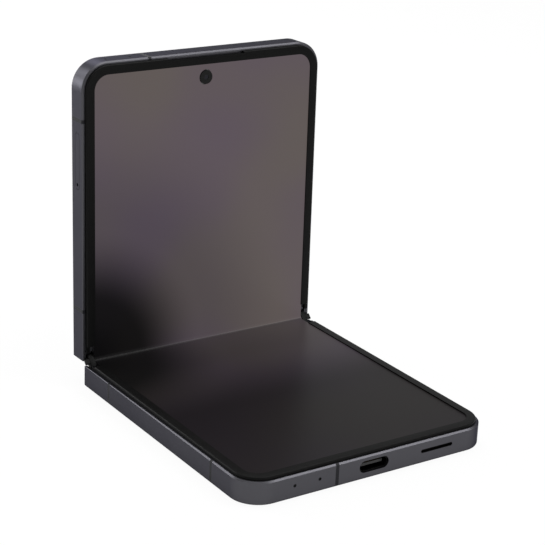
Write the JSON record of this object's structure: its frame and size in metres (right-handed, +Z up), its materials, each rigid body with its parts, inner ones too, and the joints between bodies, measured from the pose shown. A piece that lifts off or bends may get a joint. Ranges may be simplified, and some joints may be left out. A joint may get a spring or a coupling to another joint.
{
  "type": "foldable smartphone",
  "caption": "Foldable smartphone half open at a right angle on a two-axis geared hinge, with a bending inner display, glass outer covers, side keys, a card tray and a charging socket.",
  "frame": {"origin": "centre of the resting outer face of the lower half", "axes": "+Z up, away from the surface the lower half lies on; +Y from the charging socket end to the hinge; +X to the right, along the hinge, as seen by the user"},
  "size_m": [0.0755, 0.0926, 0.0902],
  "materials": {
    "frame_metal": "glossy anodised graphite",
    "antenna_plastic": "satin",
    "cover_glass": "matte etched glass, graphite",
    "window_glass": "polished black glass",
    "bezel_plastic": "satin black",
    "display": "lit flexible display, warm grey",
    "steel": "stamped steel",
    "battery_wrap": "black pouch",
    "circuit_board": "solder mask",
    "copper": "copper",
    "black_plastic": "satin",
    "lens_glass": "coated lens glass",
    "flash_plastic": "diffusing"
  },
  "bodies": {
    "lower_half": {"frame_lower": "frame_metal", "antenna_bands_lower": "antenna_plastic", "back_cover_lower": "cover_glass", "bezel_lower": "bezel_plastic", "display_lower": "display", "display_plate_lower": "steel", "battery_lower": "battery_wrap", "board_lower": "circuit_board", "usb_socket": "steel", "usb_tongue": "black_plastic", "loudspeaker": "black_plastic", "speaker_mesh": "black_plastic", "microphones_lower": "steel", "vibration_motor": "steel", "charging_coil": "copper", "magnets_lower": "steel", "hinge_arms_lower": "steel", "arm_screws_lower": "steel", "flex_tail_lower": "copper"},
    "hinge": {"hinge_spine": "frame_metal", "hinge_housings": "steel", "hinge_caps": "antenna_plastic", "display_fold": "display", "flex_fold": "copper"},
    "upper_half": {"frame_upper": "frame_metal", "antenna_bands_upper": "antenna_plastic", "back_cover_upper": "cover_glass", "cover_window": "window_glass", "cover_display": "display", "bezel_upper": "bezel_plastic", "display_upper": "display", "display_plate_upper": "steel", "battery_upper": "battery_wrap", "main_board": "circuit_board", "front_camera": "lens_glass", "earpiece": "steel", "camera_rings": "frame_metal", "camera_glasses": "lens_glass", "camera_modules": "black_plastic", "flash_lens": "flash_plastic", "microphones_upper": "steel", "key_switches": "black_plastic", "sim_reader": "steel", "magnets_upper": "steel", "hinge_arms_upper": "steel", "arm_screws_upper": "steel", "flex_tail_upper": "copper"},
    "volume_button": {"volume_key": "frame_metal"},
    "power_button": {"power_key": "frame_metal"},
    "card_tray": {"sim_tray": "frame_metal"},
    "pinion_lower_gears": {"pinion_lower": "steel"},
    "idler_lower_gears": {"idler_lower": "steel"},
    "idler_upper_gears": {"idler_upper": "steel"},
    "pinion_upper_gears": {"pinion_upper": "steel"}
  },
  "joints": [
    {"name": "fold_lower", "type": "hinge", "parent": "lower_half", "child": "hinge", "pos_m": [0, 0.04107, 0.00665], "axis": [1, 0, 0], "range_deg": [-44.5, 45.5], "deforming": ["display_fold", "flex_fold"]},
    {"name": "fold_upper", "type": "hinge", "parent": "hinge", "child": "upper_half", "pos_m": [0, 0.04193, 0.00749], "axis": [1, 0, 0], "range_deg": [-44.5, 45.5]},
    {"name": "volume_press", "type": "slide", "parent": "upper_half", "child": "volume_button", "axis": [-1, 0, 0], "range_m": [0, 0.00025], "stiffness_N_per_m": 500},
    {"name": "power_press", "type": "slide", "parent": "upper_half", "child": "power_button", "axis": [-1, 0, 0], "range_m": [0, 0.00025], "stiffness_N_per_m": 500},
    {"name": "tray_slide", "type": "slide", "parent": "upper_half", "child": "card_tray", "axis": [-1, 0, 0], "range_m": [0, 0.02]},
    {"name": "pinion_lower_spin", "type": "hinge", "parent": "hinge", "child": "pinion_lower_gears", "pos_m": [0, 0.04129, 0.00386], "axis": [1, 0, 0], "range_deg": [-114, 114]},
    {"name": "idler_lower_spin", "type": "hinge", "parent": "hinge", "child": "idler_lower_gears", "pos_m": [0, 0.04244, 0.00498], "axis": [1, 0, 0], "range_deg": [-114, 114]},
    {"name": "idler_upper_spin", "type": "hinge", "parent": "hinge", "child": "idler_upper_gears", "pos_m": [0, 0.04358, 0.0061], "axis": [1, 0, 0], "range_deg": [-114, 114]},
    {"name": "pinion_upper_spin", "type": "hinge", "parent": "hinge", "child": "pinion_upper_gears", "pos_m": [0, 0.04472, 0.00722], "axis": [1, 0, 0], "range_deg": [-114, 114]}
  ],
  "couplings": [
    {"joint": "fold_upper", "follows": "fold_lower", "ratio": 1},
    {"joint": "pinion_lower_spin", "follows": "fold_lower", "ratio": 2.5},
    {"joint": "idler_lower_spin", "follows": "fold_lower", "ratio": -2.5},
    {"joint": "idler_upper_spin", "follows": "fold_lower", "ratio": 2.5},
    {"joint": "pinion_upper_spin", "follows": "fold_lower", "ratio": -2.5}
  ]
}
